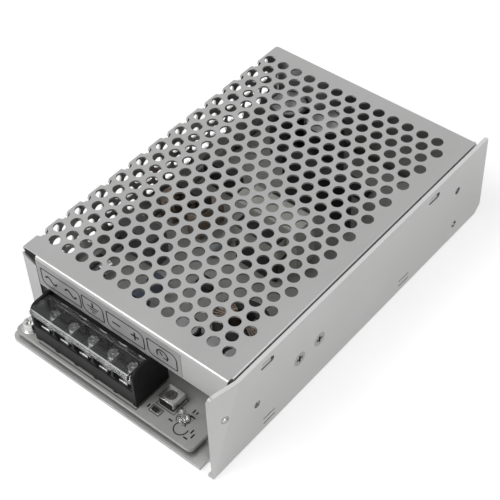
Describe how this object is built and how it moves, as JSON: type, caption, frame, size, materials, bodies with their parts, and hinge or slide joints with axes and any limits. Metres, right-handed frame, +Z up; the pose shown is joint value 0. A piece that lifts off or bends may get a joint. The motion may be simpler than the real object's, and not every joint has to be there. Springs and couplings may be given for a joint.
{
  "type": "mesh case switching power supply",
  "caption": "Low box power supply with a perforated sheet cover, a folded base and wall, and a screw terminal block with a clear hinged lid.",
  "frame": {"origin": "centre of the rectangle that the case stands on", "axes": "+X to the right along the short front edge, +Y from the terminals to the rear, +Z up"},
  "size_m": [0.098, 0.159, 0.038],
  "materials": {
    "chassis": "plain mill finish",
    "cover": "galvanised sheet",
    "label": "satin film",
    "sheet": "thin film",
    "board": "pale laminate",
    "zinc": "zinc plated",
    "dark_screw": "black zinc",
    "black_plastic": "moulded",
    "terminal_metal": "nickel plated",
    "clear_plastic": "clear",
    "trimmer_plastic": "moulded",
    "rotor_metal": "plated",
    "lamp": "clear",
    "chip": "epoxy",
    "package": "epoxy with tinned leads",
    "thermal_pad": "silicone",
    "ferrite": "matt ferrite",
    "bobbin": "moulded",
    "taped_coil": "copper under light tape",
    "copper": "enamelled copper",
    "capacitor_can": "sleeved can",
    "film_box": "moulded box",
    "disc_blue": "dipped disc",
    "disc_green": "dipped disc",
    "fuse_glass": "glass tube with plated caps",
    "resistor": "coated"
  },
  "bodies": {
    "case": {"base_chassis": "chassis", "board_flat_washer": "zinc", "board_screws": "zinc", "board_split_washer": "zinc", "bridge_rectifier": "package", "bulk_capacitor_1": "capacitor_can", "bulk_capacitor_2": "capacitor_can", "chip_resistor": "chip", "circuit_board": "board", "controller_chip": "package", "cover_screws": "dark_screw", "fuse": "fuse_glass", "heat_sink": "chassis", "input_choke_core": "ferrite", "input_choke_winding": "copper", "insulating_pad_1": "thermal_pad", "insulating_pad_2": "thermal_pad", "insulation_sheet": "sheet", "led_indicator": "lamp", "optocoupler": "package", "output_capacitor_1": "capacitor_can", "output_capacitor_2": "capacitor_can", "output_capacitor_3": "capacitor_can", "output_choke_core": "ferrite", "output_choke_winding": "copper", "output_rectifier_1": "package", "output_rectifier_2": "package", "perforated_cover": "cover", "snubber_resistor": "resistor", "switching_transistor": "package", "terminal_block": "black_plastic", "terminal_label": "label", "terminal_plate_1": "terminal_metal", "terminal_plate_2": "terminal_metal", "terminal_plate_3": "terminal_metal", "terminal_plate_4": "terminal_metal", "terminal_plate_5": "terminal_metal", "thermistor": "disc_green", "transformer_bobbin": "bobbin", "transformer_core": "ferrite", "transformer_winding": "taped_coil", "trimmer_base": "trimmer_plastic", "trimmer_frame": "zinc", "wall_screws": "zinc", "x_capacitor": "film_box", "y_capacitor_1": "disc_blue", "y_capacitor_2": "disc_blue"},
    "lid": {"terminal_cover": "clear_plastic"},
    "rotor": {"trimmer_rotor": "rotor_metal"},
    "clamp_1": {"clamp_washer_1": "zinc"},
    "screw_1": {"terminal_screw_1": "zinc"},
    "clamp_2": {"clamp_washer_2": "zinc"},
    "screw_2": {"terminal_screw_2": "zinc"},
    "clamp_3": {"clamp_washer_3": "zinc"},
    "screw_3": {"terminal_screw_3": "zinc"},
    "clamp_4": {"clamp_washer_4": "zinc"},
    "screw_4": {"terminal_screw_4": "zinc"},
    "clamp_5": {"clamp_washer_5": "zinc"},
    "screw_5": {"terminal_screw_5": "zinc"}
  },
  "joints": [
    {"name": "lid_hinge", "type": "hinge", "parent": "case", "child": "lid", "pos_m": [-0.01365, -0.0682, 0.0212], "axis": [-1, 0, 0], "range_deg": [0, 90]},
    {"name": "trimmer_turn", "type": "hinge", "parent": "case", "child": "rotor", "pos_m": [0.019, -0.0665, 0.0081], "axis": [0, 0, 1], "range_deg": [-135, 135]},
    {"name": "clamp_1_lift", "type": "slide", "parent": "case", "child": "clamp_1", "axis": [0, 0, 1], "range_m": [0, 0.002]},
    {"name": "screw_1_turn", "type": "hinge", "parent": "clamp_1", "child": "screw_1", "pos_m": [-0.03265, -0.0698, 0.014], "axis": [0, 0, 1], "range_deg": [0, 1440]},
    {"name": "clamp_2_lift", "type": "slide", "parent": "case", "child": "clamp_2", "axis": [0, 0, 1], "range_m": [0, 0.002]},
    {"name": "screw_2_turn", "type": "hinge", "parent": "clamp_2", "child": "screw_2", "pos_m": [-0.02315, -0.0698, 0.014], "axis": [0, 0, 1], "range_deg": [0, 1440]},
    {"name": "clamp_3_lift", "type": "slide", "parent": "case", "child": "clamp_3", "axis": [0, 0, 1], "range_m": [0, 0.002]},
    {"name": "screw_3_turn", "type": "hinge", "parent": "clamp_3", "child": "screw_3", "pos_m": [-0.01365, -0.0698, 0.014], "axis": [0, 0, 1], "range_deg": [0, 1440]},
    {"name": "clamp_4_lift", "type": "slide", "parent": "case", "child": "clamp_4", "axis": [0, 0, 1], "range_m": [0, 0.002]},
    {"name": "screw_4_turn", "type": "hinge", "parent": "clamp_4", "child": "screw_4", "pos_m": [-0.00415, -0.0698, 0.014], "axis": [0, 0, 1], "range_deg": [0, 1440]},
    {"name": "clamp_5_lift", "type": "slide", "parent": "case", "child": "clamp_5", "axis": [0, 0, 1], "range_m": [0, 0.002]},
    {"name": "screw_5_turn", "type": "hinge", "parent": "clamp_5", "child": "screw_5", "pos_m": [0.00535, -0.0698, 0.014], "axis": [0, 0, 1], "range_deg": [0, 1440]}
  ],
  "couplings": [
    {"joint": "screw_1_turn", "follows": "clamp_1_lift", "rad_per_m": 12566},
    {"joint": "screw_2_turn", "follows": "clamp_2_lift", "rad_per_m": 12566},
    {"joint": "screw_3_turn", "follows": "clamp_3_lift", "rad_per_m": 12566},
    {"joint": "screw_4_turn", "follows": "clamp_4_lift", "rad_per_m": 12566},
    {"joint": "screw_5_turn", "follows": "clamp_5_lift", "rad_per_m": 12566}
  ]
}
